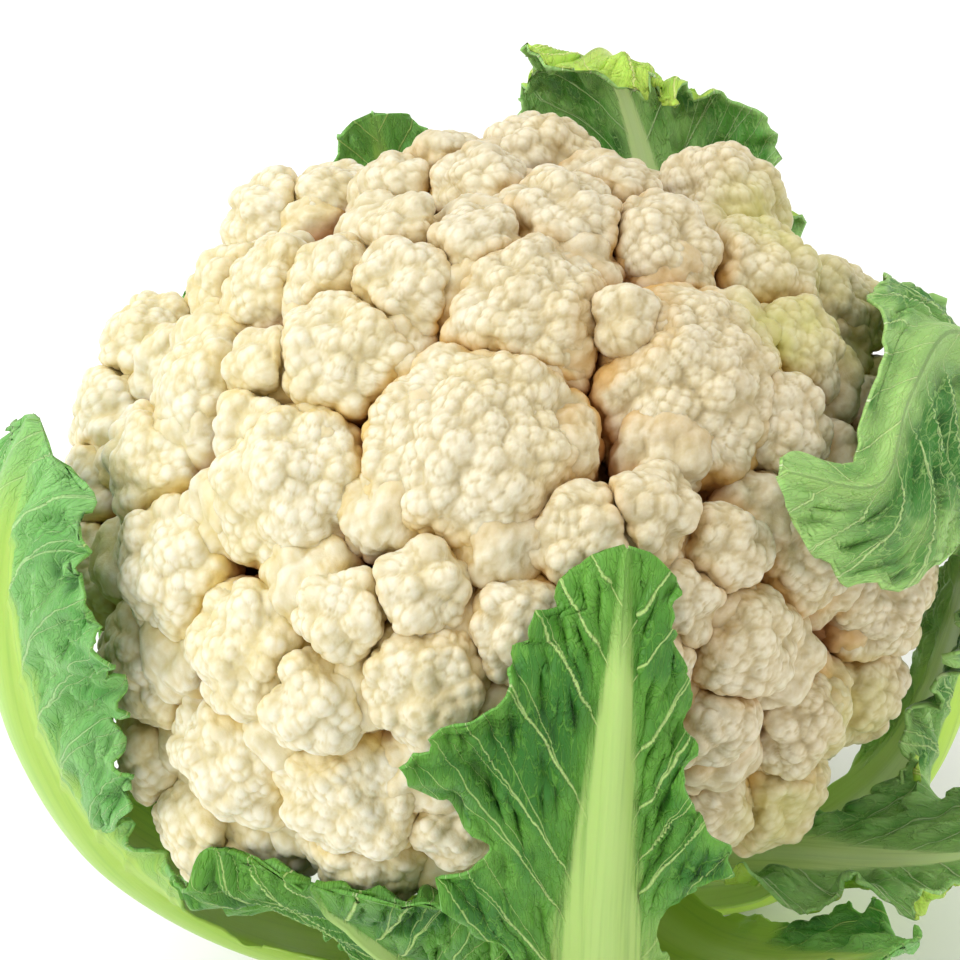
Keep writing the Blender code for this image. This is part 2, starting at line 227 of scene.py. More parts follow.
def bump(tree, height, strength, distance, below=None):
    inputs = {"Height": height, "Strength": strength, "Distance": distance}
    if below is not None:
        inputs["Normal"] = below
    return put(tree, "ShaderNodeBump", inputs).outputs["Normal"]


def newMaterial(name, roughness, specular, subsurface=0.0, radius=(1, 1, 1), scale=0.001):
    material = bpy.data.materials.new(name)
    material.use_nodes = True
    shader = material.node_tree.nodes["Principled BSDF"]
    shader.inputs["Roughness"].default_value = roughness
    shader.inputs["Specular IOR Level"].default_value = specular
    shader.inputs["Subsurface Weight"].default_value = subsurface
    shader.inputs["Subsurface Radius"].default_value = radius
    shader.inputs["Subsurface Scale"].default_value = scale
    return material, material.node_tree, shader


def paint(tree, shader, colour, normal=None, roughness=None):
    tree.links.new(colour, shader.inputs["Base Color"])
    if normal is not None:
        tree.links.new(normal, shader.inputs["Normal"])
    if roughness is not None:
        tree.links.new(roughness, shader.inputs["Roughness"])


# camera: in front, a third of the way up to overhead, and tilted a little as in the photograph

view = {
    "elevation": 34, "roll": 12, "distance": 0.65, "aimHeight": 0.118, "seenAcross": 0.198,
    "shiftRight": 15, "shiftUp": 25, "pictureAcross": 960, "sensor": 36,
}


def placeCamera():
    lean, roll = math.radians(view["elevation"]), math.radians(view["roll"])
    forward = Vector((0, math.cos(lean), -math.sin(lean)))
    level, upright = Vector((1, 0, 0)), Vector((0, math.sin(lean), math.cos(lean)))
    right = math.cos(roll) * level - math.sin(roll) * upright
    up = math.sin(roll) * level + math.cos(roll) * upright
    pixel = view["seenAcross"] / view["pictureAcross"]
    aim = Vector((0, 0, view["aimHeight"])) - right * view["shiftRight"] * pixel + up * view["shiftUp"] * pixel
    spot = aim - forward * view["distance"]
    bpy.ops.object.camera_add()
    camera = bpy.context.object
    camera.name = "camera"
    camera.matrix_world = Matrix((
        (right.x, up.x, -forward.x, spot.x), (right.y, up.y, -forward.y, spot.y),
        (right.z, up.z, -forward.z, spot.z), (0, 0, 0, 1)))
    camera.data.sensor_width = view["sensor"]
    camera.data.lens = view["sensor"] * view["distance"] / view["seenAcross"]
    camera.data.clip_start = 0.01
    scene.camera = camera


# studio: a pale floor and soft light, strongest from the upper left

studio = {
    "floorColour": (0.975, 0.975, 0.975), "floorSize": 8.0, "floorDimming": 0.985,
    "skyColour": (1.0, 1.0, 1.0), "skyStrength": 0.8, "lampsAimAt": (0, 0, 0.1),
    "lamps": [  # name, place, size, power in watts, colour
        ("key", (-1.05, -0.35, 1.05), 1.00, 11.5, (1.0, 0.985, 0.95)),
        ("top", (-0.1, 0.3, 1.3), 1.00, 5.0, (1.0, 1.0, 1.0)),
        ("fill", (1.05, -0.45, 0.5), 0.9, 2.0, (1.0, 0.93, 0.82)),
    ],
}


def buildStudio():
    scene.view_settings.view_transform = "Standard"
    scene.world = bpy.data.worlds.new("pale_sky")
    scene.world.use_nodes = True
    sky = scene.world.node_tree.nodes["Background"]
    sky.inputs["Color"].default_value = (*studio["skyColour"], 1)
    sky.inputs["Strength"].default_value = studio["skyStrength"]
    bpy.ops.mesh.primitive_plane_add(size=studio["floorSize"])
    floor = bpy.context.object
    floor.name = "floor"
    material, tree, shader = newMaterial("pale_floor", 0.9, 0.1)
    place = ownPlace(tree)
    dimmer = tuple(studio["floorDimming"] * c for c in studio["floorColour"])
    paint(tree, shader, mix(tree, noise(tree, place, 3.0), studio["floorColour"], dimmer))
    floor.data.materials.append(material)
    for name, place, size, power, colour in studio["lamps"]:
        bpy.ops.object.light_add(type="AREA", location=place)
        lamp = bpy.context.object
        lamp.name = name
        lamp.data.size = size
        lamp.data.energy = power
        lamp.data.color = colour
        lamp.rotation_euler = (Vector(studio["lampsAimAt"]) - Vector(place)).to_track_quat("-Z", "Y").to_euler()


placeCamera()
buildStudio()
print("camera and studio ready")


# curd: a dome of florets, each a cluster of lobes covered in knobs

curd = {
    "centre": (0, 0, 114), "across": 89, "rise": 78, "coreShare": 0.74, "coreDrop": 46,
    "restCandidates": 150, "restRadius": (12, 18), "restSpacing": 0.88, "lowest": 118,
    "fillers": 130, "fillerRadius": 10, "fillerDepth": 8, "fillerRaise": 5.0,
    "heart": 0.9, "roundness": 0.955, "lobeRadius": (2.2, 0.28), "lobeCount": 2.0, "lobeReach": 0.67,
    "lobeSpread": 1.5, "lobeVaries": (0.86, 1.14), "coreSink": 0.6, "coreKnobs": 5.0, "coreKnobsProud": 2.0,
    "seed": 11, "soften": 0.6, "shrink": 0.45, "backCut": -0.3,
    "broaden": 1.2, "restBroaden": 1.34, "roomToSwell": (14.0, 4.0), "leastPressed": 0.45, "pressing": 3.2,
    "crease": 0.2, "neighbourWithin": 12, "fillerNeighbourWithin": 4, "far": 99.0,
    "frontEdge": 0.49, "restEdge": 0.84, "fillerEdge": 0.98,
    "beads": [(5.4, 0.48, 0.42, 0.12), (2.45, 0.48, 0.36, 0.07)],  # size, how proud, how far astray, how uneven
    "beadsPacked": 1.2, "fewestBeads": 10, "beadRise": 0.42, "beadMiddle": 0.45, "pieceFaces": 80000,
    "florets": [  # bearing, degrees down from the top, radius, how far proud of the dome
        (-92, 42, 21, 2), (-131, 47, 16, 1), (-62, 23, 16, 1), (-42, 47, 20, 2), (-132, 26, 13, 1),
        (-116, 14, 10, 1), (-155, 5, 7, 1), (-161, 16, 8, 0), (175, 25, 10, 0), (162, 34, 8, 0), (-148, 32, 6, 1),
        (-167, 41, 10, 0), (-143, 40, 6, -1), (116, 35, 11, 0), (128, 40, 10, 4), (103, 16, 6, 0), (83, 19, 6, 1),
        (57, 13, 9, 0), (60, 37, 12, 3), (-63, 9, 9, 0), (-4, 18, 12, 1), (16, 27, 7, 0), (25, 50, 14, 7),
        (-8, 32, 11, 0), (-2, 49, 12, 2), (-18, 56, 10, 0), (-48, 33, 6, 0), (-36, 60, 10, -1), (8, 68, 11, 3),
        (0, 84, 11, 0), (156, 55, 11, 4), (165, 64, 11, 3), (174, 72, 9, 2), (-165, 55, 12, 0),
        (-150, 65, 13, 1), (-178, 82, 11, 1), (-157, 86, 12, 0), (-158, 103, 9, 4), (-148, 113, 13, 9),
        (-140, 113, 10, 2), (-137, 93, 13, 2), (-130, 72, 13, 2), (-115, 63, 8, 1), (-120, 76, 9, 2),
        (-104, 73, 13, 1), (-103, 60, 8, 0), (-118, 94, 15, 1), (-120, 110, 13, 1), (-104, 99, 8, -1),
        (-90, 68, 10, 0), (-95, 80, 8, -3), (-77, 58, 10, 0), (-68, 58, 8, 1), (-59, 67, 8, 0), (-68, 71, 8, 0),
        (-74, 75, 10, -1), (-82, 87, 13, 0), (-86, 108, 12, 0), (-68, 92, 8, 0), (-68, 116, 11, 0),
        (-45, 76, 11, 0), (-61, 81, 11, 1), (-30, 92, 16, 4), (-52, 104, 10, 1), (-36, 112, 10, 3), (-56, 118, 11, 4),
    ],
    "greenPatches": [  # bearing, degrees down, reach, strength: olive green patches on the curd beside the leaves
        (-22, 50, 17, 0.75), (-12, 60, 14, 0.8), (5, 52, 26, 0.7), (20, 62, 26, 0.8), (5, 78, 26, 0.9),
        (-170, 70, 15, 0.55), (-165, 98, 18, 0.45), (-112, 116, 20, 0.5), (-96, 116, 16, 0.35),
        (-44, 108, 18, 0.6), (-60, 116, 18, 0.5), (-25, 100, 16, 0.5),
    ],
}
curdCentre = np.array(curd["centre"], float)
fillerSeeds = 300  # seeds of the fillers start here, past those of the florets


def domePoint(bearing, down, drop=0.0):
    around, below = math.radians(bearing), math.radians(down)
    across, rise = curd["across"] - drop, curd["rise"] - drop
    return np.array([across * math.sin(below) * math.cos(around), across * math.sin(below) * math.sin(around),
                     rise * math.cos(below)])


def floretAt(bearing, down, radius, proud):
    top = domePoint(bearing, down)
    reach = np.linalg.norm(top)
    return top * ((reach - radius + proud) / reach), radius


def evenBearings(count, lowest):
    for k in range(count):
        cosine = 1 - (1 - math.cos(math.radians(lowest))) * (k + 0.5) / count
        yield math.degrees(k * goldenAngle) % 360, math.degrees(math.acos(cosine))


def allFlorets():
    florets = [floretAt(*row) for row in curd["florets"]]
    draw = random.Random(curd["seed"])
    for bearing, down in evenBearings(curd["restCandidates"], curd["lowest"]):
        middle, radius = floretAt(bearing, down, draw.uniform(*curd["restRadius"]), draw.uniform(-1, 2))
        if all(np.linalg.norm(middle - c) > curd["restSpacing"] * (radius + r) for c, r in florets):
            florets.append((middle, radius))
    return florets


def lobesOf(floret, draw):
    middle, radius = floret
    turn = Vector((0, 0, 1)).rotation_difference(Vector(middle).normalized())
    start = draw.uniform(0, math.tau)
    usual = curd["lobeRadius"][0] + curd["lobeRadius"][1] * radius
    count = round(curd["lobeCount"] * (radius / usual) ** 2)
    lobes = []
    for k in range(count):
        down = math.acos(1 - (k + 0.5) / count * (1 - math.cos(curd["lobeSpread"])))
        around = start + k * goldenAngle
        way = Vector((math.sin(down) * math.cos(around), math.sin(down) * math.sin(around), math.cos(down)))
        size = usual * draw.uniform(*curd["lobeVaries"])
        lobes.append((middle + np.array(turn @ way) * radius * curd["lobeReach"], size))
    return lobes


florets = allFlorets()
lobeDraw = random.Random(curd["seed"])
floretLobes = [lobesOf(floret, lobeDraw) for floret in florets]
fillers = [floretAt(b, d, curd["fillerRadius"], -curd["fillerDepth"])
           for b, d in evenBearings(curd["fillers"], curd["lowest"] + 4)]
curdBalls = [ball for floret, lobes in zip(florets, floretLobes)
             for ball in [(floret[0], floret[1] * curd["heart"]), *lobes]] + fillers
ballMiddles = np.array([c for c, _ in curdBalls])
ballRadii = np.array([r for _, r in curdBalls])
floretMiddles = np.array([c for c, _ in florets])
floretRadii = np.array([r for _, r in florets], float)


def coreReach(ways):  # how far the flesh under the florets reaches from the curd's centre
    height = np.where(ways[:, 2] > 0, curd["rise"] * curd["coreShare"], curd["coreDrop"])
    across = np.hypot(ways[:, 0], ways[:, 1]) / (curd["across"] * curd["coreShare"])
    return 1 / np.hypot(across, ways[:, 2] / height)


def curdReach(ways):  # how far the curd reaches from its centre in each direction
    along = ways @ ballMiddles.T
    inside = along**2 - (ballMiddles**2).sum(axis=1) + ballRadii**2
    furthest = np.where(inside > 0, along + np.sqrt(np.maximum(inside, 0)), 0).max(axis=1)
    return np.maximum(coreReach(ways), furthest)


ballPatterns = {}


def ballPattern(cuts):  # a ball of even squares, its back cut off flat and closed
    if cuts not in ballPatterns:
        deselectAll()
        bpy.ops.mesh.primitive_cube_add(size=2)
        ball = bpy.context.object
        bpy.ops.object.mode_set(mode="EDIT")
        bpy.ops.mesh.select_all(action="SELECT")
        bpy.ops.mesh.subdivide(number_cuts=cuts)
        bpy.ops.transform.tosphere(value=1)
        bpy.ops.mesh.select_all(action="SELECT")
        bpy.ops.mesh.bisect(plane_co=(0, 0, curd["backCut"]), plane_no=(0, 0, -1), clear_outer=True, use_fill=True)
        bpy.ops.mesh.poke()
        bpy.ops.object.mode_set(mode="OBJECT")
        ballPatterns[cuts] = ball
    return ballPatterns[cuts]


def evenWays(count, seed, stray):  # directions spread evenly all round, each a little out of place
    steps = np.arange(count) + 0.5
    upward = 1 - 2 * steps / count
    ring = np.sqrt(1 - upward**2)
    ways = np.stack([ring * np.cos(steps * goldenAngle), ring * np.sin(steps * goldenAngle), upward], axis=1)
    push = np.random.RandomState(seed).uniform(-1, 1, (count, 3))
    return unit(ways + push * stray * math.sqrt(4 * math.pi / count))


def beads(ways, radius, size, stray, vary, seed):  # beads over a ball: (height in bead sizes, near a crease)
    count = max(curd["fewestBeads"], round(curd["beadsPacked"] * 4 * math.pi * (radius / size) ** 2))
    middles = evenWays(count, seed, stray)
    bigger = np.random.RandomState(seed + 1).uniform(-vary, vary, count)
    value = bigger - (2 - 2 * ways @ middles.T) * (radius / size) ** 2
    best = np.partition(value, -2, axis=1)[:, -2:]
    height = np.sqrt(np.maximum(best[:, 1] + curd["beadRise"], 0.02))
    return height, 0.5 * ease(best[:, 1] - best[:, 0], 0.24, 0.0) + 0.5 * ease(height, 0.52, 0.24)


def pressed(reach, limit, blend):  # the lower of two, with a rounded corner
    share = np.clip(0.5 + 0.5 * (limit - reach) / blend, 0, 1)
    return limit * (1 - share) + reach * share - blend * share * (1 - share)


def floretPiece(name, floret, lobes, edge, others, seed, filling=False):
    middle, radius = floret
    cuts = max(5, 3 * round(math.pi / 2 * radius / edge / 3) - 1)
    piece = bpy.data.objects.new(name, ballPattern(cuts).data.copy())
    scene.collection.objects.link(piece)
    mesh = piece.data
    turn = np.array(Vector((0, 0, 1)).rotation_difference(Vector(middle).normalized()).to_matrix())
    local = readPoints(mesh)
    capped = np.linalg.norm(local, axis=1) < 0.6  # the middle of the flat back
    ways = unit(np.where(capped[:, None], (0, 0, -1), local)) @ turn.T
    reach = np.exp((curd["roundness"] - 1) * radius / curd["soften"]) * np.ones(len(ways))
    for lobeMiddle, size in lobes:
        offset = lobeMiddle - middle
        along = ways @ offset
        inside = along**2 - offset @ offset + size**2
        far = np.where(inside > 0, along + np.sqrt(np.maximum(inside, 0)), 0)
        reach += np.exp((far - radius) / curd["soften"])
    reach = radius + curd["soften"] * np.log(reach) - curd["shrink"]

    # a floret swells sideways to its neighbours, and ends where they press on it
    gap = np.full(len(ways), curd["far"])
    toPlane = gap.copy()
    base = middle + ways * reach[:, None]
    for k in others:
        gap = np.minimum(gap, np.linalg.norm(base - floretMiddles[k], axis=1) - floretRadii[k])
    if not filling:
        sideways = 1 - (ways @ turn[:, 2]) ** 2
        broaden = curd["broaden"] if seed < len(curd["florets"]) else curd["restBroaden"]
        reach = reach * (1 + (broaden - 1) * sideways * ease(gap, *curd["roomToSwell"]))
        for k in others:
            offset = floretMiddles[k] - middle
            between = max((offset @ offset + radius**2 - floretRadii[k] ** 2) / 2, 0) / np.linalg.norm(offset)
            between = max(between, curd["leastPressed"] * radius) - curd["crease"]
            toward = ways @ unit(offset)
            limit = np.where(toward > 0.02, between / np.maximum(toward, 0.02), curd["far"])
            reach = pressed(reach, limit, curd["pressing"])
            toPlane = np.minimum(toPlane, between - toward * reach)
    reach[capped] = radius * -curd["backCut"]
    points = middle + curdCentre + ways * reach[:, None]
    writePoints(mesh, points * mm)
    normals = readNormals(mesh)
    seam = np.zeros(len(points))
    crown = np.ones(len(points))
    for step, (size, proud, stray, vary) in enumerate(curd["beads"]):
        height, crease = beads(ways, radius, size, stray, vary, seed * 7 + step)
        points = points + normals * ((height - curd["beadMiddle"]) * size * proud)[:, None]
        seam = np.maximum(seam, crease)
        crown = crown * ease(height, 0.35, 0.66)
    points[:, 2] = np.minimum(points[:, 2], boxCorners[1][2] / mm - 0.05)
    writePoints(mesh, points * mm)

    centred = points - curdCentre
    length = np.linalg.norm(centred, axis=1)
    flat = centred / length[:, None]
    dome = 1 / np.hypot(np.hypot(flat[:, 0], flat[:, 1]) / curd["across"], flat[:, 2] / curd["rise"])
    green = np.zeros(len(points))
    for bearing, down, size, strength in curd["greenPatches"]:
        away = np.linalg.norm(centred - domePoint(bearing, down), axis=1)
        green = np.maximum(green, strength * ease(away, size, size * 0.25))
    # seam, near and deep mark where painted shade goes in the curd's colour, and crown the bead tops that get painted
    # light
    writeAttribute(mesh, "seam", seam)
    writeAttribute(mesh, "crown", crown)
    writeAttribute(mesh, "near", 0.8 * ease(gap, 4.5, 0.5) if filling else ease(toPlane, 2.6, 0.2))
    writeAttribute(mesh, "deep", ease(dome - length, 1.0, 15.0))
    writeAttribute(mesh, "green", green)
    mesh.shade_smooth()
    return piece


def curdMaterial():
    material, tree, shader = newMaterial("curd_ivory", 0.5, 0.36, 0.3, (1.0, 0.74, 0.44), 0.0018)
    place = ownPlace(tree)
    seam, crown, near, deep, green = (attribute(tree, name) for name in ("seam", "crown", "near", "deep", "green"))
    patches = fade(tree, noise(tree, place, 38.0, 2.0), 0.42, 0.62)
    colour = mix(tree, patches, (0.745, 0.705, 0.52), (0.725, 0.655, 0.395))
    # painted light: the tops of the beads painted lighter, where the light falls on them
    colour = layer(tree, colour, crown, 0.55, (0.86, 0.835, 0.69))
    # painted shade: the curd, its bead seams and its creases turn tan and darker towards its right side, away from
    # the light
    paintedShadeRightwards = put(tree, "ShaderNodeSeparateXYZ", {"Vector": place}).outputs["X"]
    colour = mix(tree, fade(tree, paintedShadeRightwards, -0.07, 0.06, 0.0, 0.62), colour, (0.63, 0.53, 0.335))
    specks = fade(tree, noise(tree, place, 900.0, 2.0), 0.35, 0.65)
    colour = layer(tree, colour, specks, 0.25, (0.86, 0.84, 0.71))
    # painted shade in the fine creases between the beads
    seamShadeColour = mix(tree, fade(tree, paintedShadeRightwards, -0.06, 0.03), (0.64, 0.53, 0.23), (0.43, 0.32, 0.13))
    colour = layer(tree, colour, seam, 0.72, seamShadeColour)
    # painted shade: warm orange-brown in the creases where the florets press together
    creaseShade = times(tree, near, fade(tree, deep, 0.0, 0.4, 0.35, 1.0))
    creaseShadeColour = mix(tree, fade(tree, paintedShadeRightwards, -0.06, 0.03), (0.78, 0.6, 0.2), (0.6, 0.345, 0.085))
    colour = layer(tree, colour, creaseShade, 0.9, creaseShadeColour)
    # painted shade: dark brown deep down in the hollows between the florets
    colour = layer(tree, colour, fade(tree, deep, 0.35, 0.9), 0.9, (0.4, 0.16, 0.035))
    streaks = fade(tree, noise(tree, place, 120.0, 3.0), 0.35, 0.7, 0.55, 1.0)
    colour = mix(tree, times(tree, green, streaks), colour, (0.5, 0.49, 0.1))
    grain = bump(tree, noise(tree, place, 1300.0, 3.0), 0.35, 0.0004)
    paint(tree, shader, colour, grain)
    return material


def buildCurd():
    material = curdMaterial()
    pieces = []
    for k, (floret, lobes) in enumerate(zip(florets, floretLobes)):
        edge = curd["frontEdge"] if k < len(curd["florets"]) else curd["restEdge"]
        gaps = np.linalg.norm(floretMiddles - floret[0], axis=1) - floretRadii - floret[1]
        others = [j for j in range(len(florets)) if j != k and gaps[j] < curd["neighbourWithin"]]
        pieces.append(floretPiece(f"floret_{k}", floret, lobes, edge, others, k))
    for k, filler in enumerate(fillers):
        gaps = np.linalg.norm(floretMiddles - filler[0], axis=1) - floretRadii - filler[1]
        others = [j for j in range(len(florets)) if gaps[j] < curd["fillerNeighbourWithin"]]
        raised = (filler[0] * (1 + curd["fillerRaise"] / np.linalg.norm(filler[0])), filler[1])
        lobes = lobesOf(raised, lobeDraw)
        pieces.append(floretPiece(f"filler_{k}", raised, lobes, curd["fillerEdge"], others, fillerSeeds + k, True))
    pieces.append(corePiece())
    groups, faces = [[]], 0
    for piece in pieces:
        if faces > curd["pieceFaces"]:
            groups.append([])
            faces = 0
        groups[-1].append(piece)
        faces += len(piece.data.polygons)
    print(sum(len(piece.data.polygons) for piece in pieces), "curd faces")
    for k, group in enumerate(groups):
        whole = joined(group, f"curd_florets_{k + 1}")
        whole.data.materials.clear()
        whole.data.materials.append(material)
        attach(whole, "root")
        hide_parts("curd")
    for ball in ballPatterns.values():
        bpy.data.objects.remove(ball)
    return len(groups)


def corePiece():  # the flesh between and below the florets
    deselectAll()
    bpy.ops.mesh.primitive_ico_sphere_add(subdivisions=6, radius=1)
    core = bpy.context.object
    core.name = "core"
    ways = unit(readPoints(core.data))
    points = curdCentre + ways * (coreReach(ways) - curd["coreSink"])[:, None]
    rise, apart = pebbles(points, curd["coreKnobs"], 4)
    points = points + ways * ((rise - 0.7) * curd["coreKnobsProud"])[:, None]
    writePoints(core.data, points * mm)
    # the core carries the same marks: painted shade in its seams, all over it, and darkest at its top under the
    # florets
    writeAttribute(core.data, "seam", ease(apart, 0.1, 0.0))
    writeAttribute(core.data, "crown", np.zeros(len(points)))
    writeAttribute(core.data, "near", np.full(len(points), 0.6))
    writeAttribute(core.data, "deep", ease(points[:, 2], 84, 110))
    writeAttribute(core.data, "green", ease(points[:, 2], 96, 76))
    core.data.shade_smooth()
    return core


print(f"curd made in {buildCurd()} pieces from {len(florets)} florets")


# stalk: the cut stump and the thick branches under the curd

stalk = {
    "outline": [(17, 88), (24, 74), (23, 58), (21, 42), (22, 26), (24, 12), (24, 1.2), (22.8, 0)],
    "branches": 10, "foot": (10, 38), "head": (56, 82), "radii": (10, 17), "voxel": 1.3, "fibre": 0.35,
    "fibreWidth": 3.4, "fibreStretch": 0.18, "flatBelow": 1.0,
}


def stalkMaterial():
    material, tree, shader = newMaterial("stalk_pale_green", 0.45, 0.4, 0.3, (0.8, 1.0, 0.4), 0.003)
    place = ownPlace(tree)
    height = put(tree, "ShaderNodeSeparateXYZ", {"Vector": place}).outputs["Z"]
    long = put(tree, "ShaderNodeMapping", {"Vector": place, "Scale": (1, 1, 0.12)}).outputs["Vector"]
    fibres = noise(tree, long, 420.0, 4.0)
    colour = mix(tree, fade(tree, height, 0.015, 0.085), (0.62, 0.72, 0.34), (0.78, 0.8, 0.5))
    colour = mix(tree, fade(tree, fibres, 0.4, 0.7, 0.0, 0.5), colour, (0.45, 0.6, 0.2))
    around = put(tree, "ShaderNodeVectorMath", {0: place, 1: (1, 1, 0)}, operation="MULTIPLY").outputs["Vector"]
    ring = put(tree, "ShaderNodeVectorMath", {0: around}, operation="LENGTH").outputs["Value"]
    cut = fade(tree, height, 0.0009, 0.0003)
    pith = mix(tree, fade(tree, ring, 0.012, 0.016), (0.86, 0.85, 0.66), (0.68, 0.74, 0.42))
    pith = mix(tree, fade(tree, noise(tree, place, 260.0, 4.0), 0.45, 0.75, 0.0, 0.6), pith, (0.6, 0.46, 0.22))
    colour = mix(tree, cut, colour, pith)
    paint(tree, shader, colour, bump(tree, fibres, 0.5, 0.0008))
    return material


def buildStalk():
    deselectAll()
    outline = stalk["outline"]
    bpy.ops.mesh.primitive_circle_add(vertices=64, radius=outline[-1][0] * mm, location=(0, 0, 0), fill_type="NGON")
    stem = bpy.context.object
    bpy.ops.object.mode_set(mode="EDIT")
    bpy.ops.mesh.select_all(action="SELECT")
    for (radius, height), (before, beforeHeight) in zip(outline[-2::-1], outline[:0:-1]):
        bpy.ops.mesh.extrude_region_move(TRANSFORM_OT_translate={"value": (0, 0, (height - beforeHeight) * mm)})
        grow = radius / before
        bpy.ops.transform.resize(value=(grow, grow, 1), center_override=(0, 0, height * mm))
    bpy.ops.mesh.select_all(action="SELECT")
    bpy.ops.mesh.normals_make_consistent(inside=False)
    bpy.ops.object.mode_set(mode="OBJECT")
    arms = [stem]
    for k in range(stalk["branches"]):
        around = math.tau * (k + 0.5) / stalk["branches"]
        foot, head = (Vector((reach * math.cos(around), reach * math.sin(around), height)) * mm
                      for reach, height in (stalk["foot"], stalk["head"]))
        slope = Vector((0, 0, 1)).rotation_difference(head - foot).to_euler()
        bpy.ops.mesh.primitive_cone_add(
            vertices=40, radius1=stalk["radii"][0] * mm, radius2=stalk["radii"][1] * mm, depth=(head - foot).length,
            location=(foot + head) / 2, rotation=slope)
        arms.append(bpy.context.object)
    deselectAll()
    for arm in arms:
        arm.select_set(True)
    bpy.ops.object.transform_apply(location=True, rotation=True, scale=True)
    whole = joined(arms, "stalk_flesh")
    remesh = whole.modifiers.new("one_skin", "REMESH")
    remesh.mode = "VOXEL"
    remesh.voxel_size = stalk["voxel"] * mm
    relax = whole.modifiers.new("relax", "SMOOTH")
    relax.iterations = 6
    applyAll(whole)
    points = readPoints(whole.data) / mm
    rise, _ = pebbles(points * (1, 1, stalk["fibreStretch"]), stalk["fibreWidth"], 21)
    flesh = points + readNormals(whole.data) * ((rise - 0.95) * stalk["fibre"] * stalk["fibreWidth"])[:, None]
    foot = ease(points[:, 2], 0.5, 6.0)[:, None]
    points = points * (1 - foot) + flesh * foot
    points[:, 2] = np.where(points[:, 2] < stalk["flatBelow"], 0.0, points[:, 2])
    writePoints(whole.data, points * mm)
    whole.data.shade_smooth()
    whole.data.materials.clear()
    whole.data.materials.append(stalkMaterial())
    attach(whole, "root")
    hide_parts("stalk")


buildStalk()
print("stalk made")


# leaves: a waved blade with raised veins on a thick pale midrib

leafForm = {
    "rows": 236, "ribColumns": 7, "bladeColumns": 34, "blade": 0.75, "curdToLeaf": 3.0,
    "ribRounding": 0.84, "ribPower": 2.2, "veinGap": 14.0, "veinLean": 1.75, "veinBend": -0.011,
    "puff": 1.6, "pucker": 5.0, "veinRise": 0.7, "frill": 3.8, "frillStep": 3.8, "roll": 3.4, "rollStep": 16.0,
    "lobes": ((2.4, 11.0), (1.8, 4.5), (1.5, 1.9)), "tipRound": 0.035, "leastBlade": 0.9, "fullWaveFrom": 12,
    "curdFeeler": 0.045, "smoothing": 6, "puckerSize": 6.0,
}
